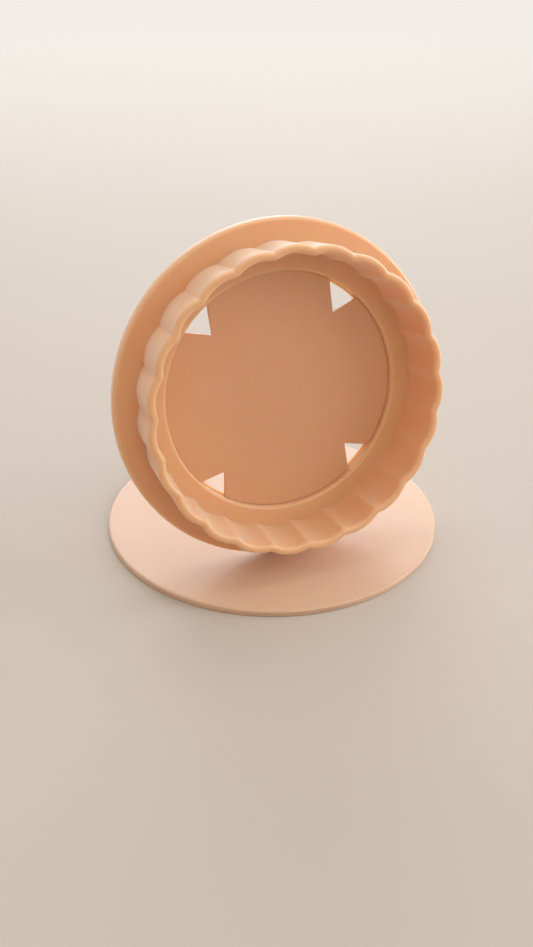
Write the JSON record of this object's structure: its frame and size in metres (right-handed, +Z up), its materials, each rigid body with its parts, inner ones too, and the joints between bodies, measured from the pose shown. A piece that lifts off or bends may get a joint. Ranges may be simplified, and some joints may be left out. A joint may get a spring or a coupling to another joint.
{
  "type": "round fluted pastry cutter",
  "caption": "Round fluted pastry cutter with a wide flange and a notched push-out plate, standing on a flat round base disc.",
  "frame": {"origin": "centre of the base disc's underside, on the table", "axes": "+Z up, the cutter's open face turned towards -Y, +X to its right as seen from the front"},
  "size_m": [0.1055, 0.105, 0.1015],
  "materials": {
    "peach_plastic": "satin"
  },
  "bodies": {
    "base": {"base_disc": "peach_plastic"},
    "cutter": {"cutter_ring": "peach_plastic"},
    "plate": {"push_plate": "peach_plastic"}
  },
  "joints": [
    {"name": "cutter_lift", "type": "slide", "parent": "base", "child": "cutter", "axis": [0, 0, 1], "range_m": [0, 0.06]},
    {"name": "plate_push", "type": "slide", "parent": "cutter", "child": "plate", "axis": [0, -0.9848, 0.1736], "range_m": [0, 0.018]}
  ]
}
